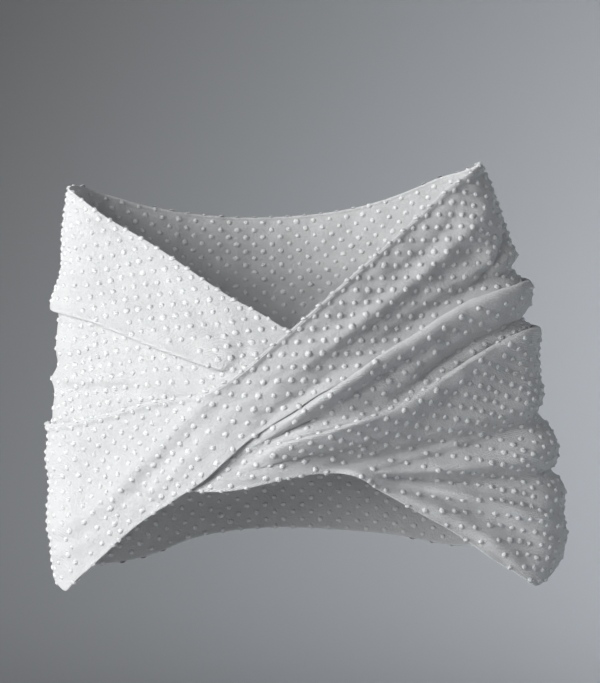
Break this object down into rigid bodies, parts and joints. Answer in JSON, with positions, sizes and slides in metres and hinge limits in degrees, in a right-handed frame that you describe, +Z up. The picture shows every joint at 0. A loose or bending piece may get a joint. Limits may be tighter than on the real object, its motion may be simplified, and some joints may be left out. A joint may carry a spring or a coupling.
{
  "type": "evening stole",
  "caption": "Off-the-shoulder evening stole in white dotted cotton, pleated over both upper arms and crossed low in front.",
  "frame": {"origin": "midway between the wearer's upper arms, just below the top of the cloth, in the middle of the hollow", "axes": "+X towards the wearer's left, -Y the way the wearer faces, +Z up"},
  "size_m": [0.5226, 0.2467, 0.4241],
  "materials": {
    "back_cotton": "matt cotton with raised dots",
    "under_front_cotton": "matt cotton with raised dots",
    "over_front_cotton": "matt cotton with raised dots"
  },
  "bodies": {
    "root": {"back": "back_cotton", "under_front": "under_front_cotton", "over_front": "over_front_cotton"}
  },
  "joints": []
}
